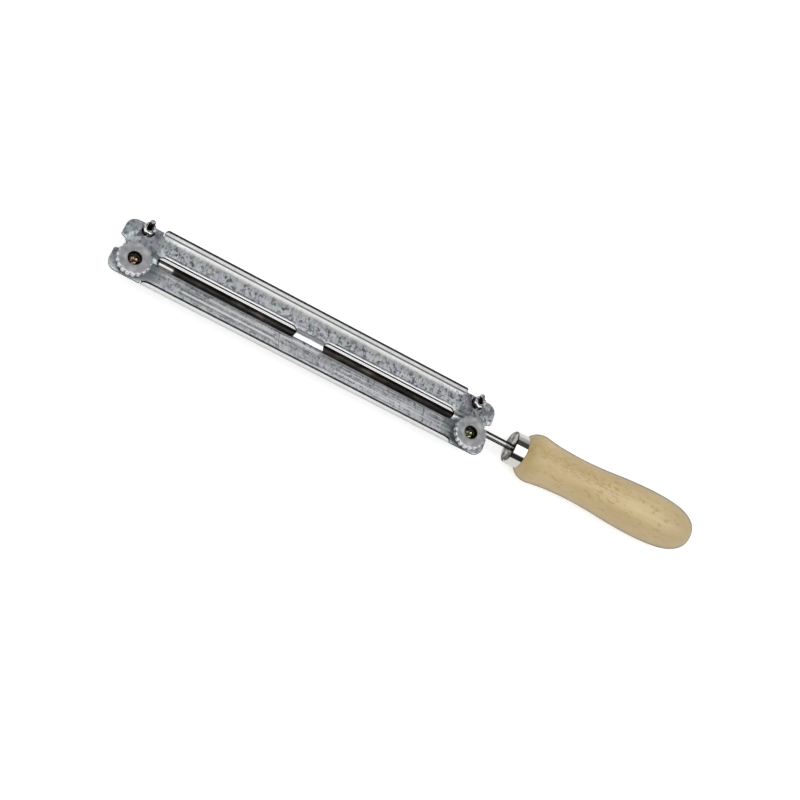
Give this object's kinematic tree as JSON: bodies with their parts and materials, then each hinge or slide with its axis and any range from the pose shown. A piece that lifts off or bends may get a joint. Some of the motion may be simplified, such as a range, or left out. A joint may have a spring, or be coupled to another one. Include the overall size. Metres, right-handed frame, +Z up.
{
  "type": "chainsaw file guide",
  "caption": "Channel-shaped steel guide plate with a round file clamped under it by swinging bars and thumb nuts, and a turned wooden handle on the file's tang.",
  "frame": {"origin": "under the middle of the bounding box, at the height of the lowest point, which is the handle's thickest place", "axes": "+X along the file towards its handle, +Y from the thumb nuts towards the pivot nuts, +Z up, square to the guide plate"},
  "size_m": [0.3536, 0.0328, 0.0289],
  "materials": {
    "galvanised_steel": "zinc-plated sheet, mottled blue-grey, satin",
    "bright_steel": "bright zinc",
    "thumb_nut_steel": "satin zinc",
    "yellow_zinc": "yellow passivated zinc",
    "file_steel": "dark hardened steel with fine spiral teeth, smooth bright tip",
    "nickel_plate": "bright plated",
    "pale_wood": "pale lacquered hardwood"
  },
  "bodies": {
    "guide": {"guide_plate": "galvanised_steel", "pivot_screw_left": "bright_steel", "pivot_screw_right": "bright_steel", "pivot_washer_left": "bright_steel", "pivot_washer_right": "bright_steel", "pivot_nut_left": "bright_steel", "pivot_nut_right": "bright_steel", "thumb_washer_left": "bright_steel", "thumb_washer_right": "bright_steel"},
    "thumb_nut_left": {"thumb_nut_left": "thumb_nut_steel"},
    "thumb_nut_right": {"thumb_nut_right": "thumb_nut_steel"},
    "clamp_screw_left": {"clamp_screw_left": "yellow_zinc"},
    "clamp_screw_right": {"clamp_screw_right": "yellow_zinc"},
    "clamp_bar_left": {"clamp_bar_left": "galvanised_steel"},
    "clamp_bar_right": {"clamp_bar_right": "galvanised_steel"},
    "file": {"round_file": "file_steel"},
    "handle": {"ferrule": "nickel_plate", "handle": "pale_wood"}
  },
  "joints": [
    {"name": "thumb_nut_left_turn", "type": "hinge", "parent": "guide", "child": "thumb_nut_left", "pos_m": [-0.16535, -0.0072, 0.01737], "axis": [0, 0, 1], "range_deg": [0, 360]},
    {"name": "thumb_nut_right_turn", "type": "hinge", "parent": "guide", "child": "thumb_nut_right", "pos_m": [0.03165, -0.0072, 0.01737], "axis": [0, 0, 1], "range_deg": [0, 360]},
    {"name": "clamp_screw_left_drop", "type": "slide", "parent": "guide", "child": "clamp_screw_left", "axis": [0, 0, -1], "range_m": [0, 0.0008]},
    {"name": "clamp_screw_right_drop", "type": "slide", "parent": "guide", "child": "clamp_screw_right", "axis": [0, 0, -1], "range_m": [0, 0.0008]},
    {"name": "clamp_bar_left_tilt", "type": "hinge", "parent": "guide", "child": "clamp_bar_left", "pos_m": [-0.16535, 0.0127, 0.01137], "axis": [1, 0, 0], "range_deg": [0, 1.94]},
    {"name": "clamp_bar_right_tilt", "type": "hinge", "parent": "guide", "child": "clamp_bar_right", "pos_m": [0.03165, 0.0127, 0.01137], "axis": [1, 0, 0], "range_deg": [0, 1.94]},
    {"name": "file_draw", "type": "slide", "parent": "guide", "child": "file", "axis": [1, 0, 0], "range_m": [0, 0.22]},
    {"name": "handle_pull", "type": "slide", "parent": "file", "child": "handle", "axis": [1, 0, 0], "range_m": [0, 0.05]}
  ],
  "couplings": [
    {"joint": "clamp_screw_left_drop", "follows": "thumb_nut_left_turn", "m_per_rad": 0.00012732},
    {"joint": "clamp_screw_right_drop", "follows": "thumb_nut_right_turn", "m_per_rad": 0.00012732},
    {"joint": "clamp_bar_left_tilt", "follows": "thumb_nut_left_turn", "ratio": 0.0053834},
    {"joint": "clamp_bar_right_tilt", "follows": "thumb_nut_right_turn", "ratio": 0.0053834}
  ]
}
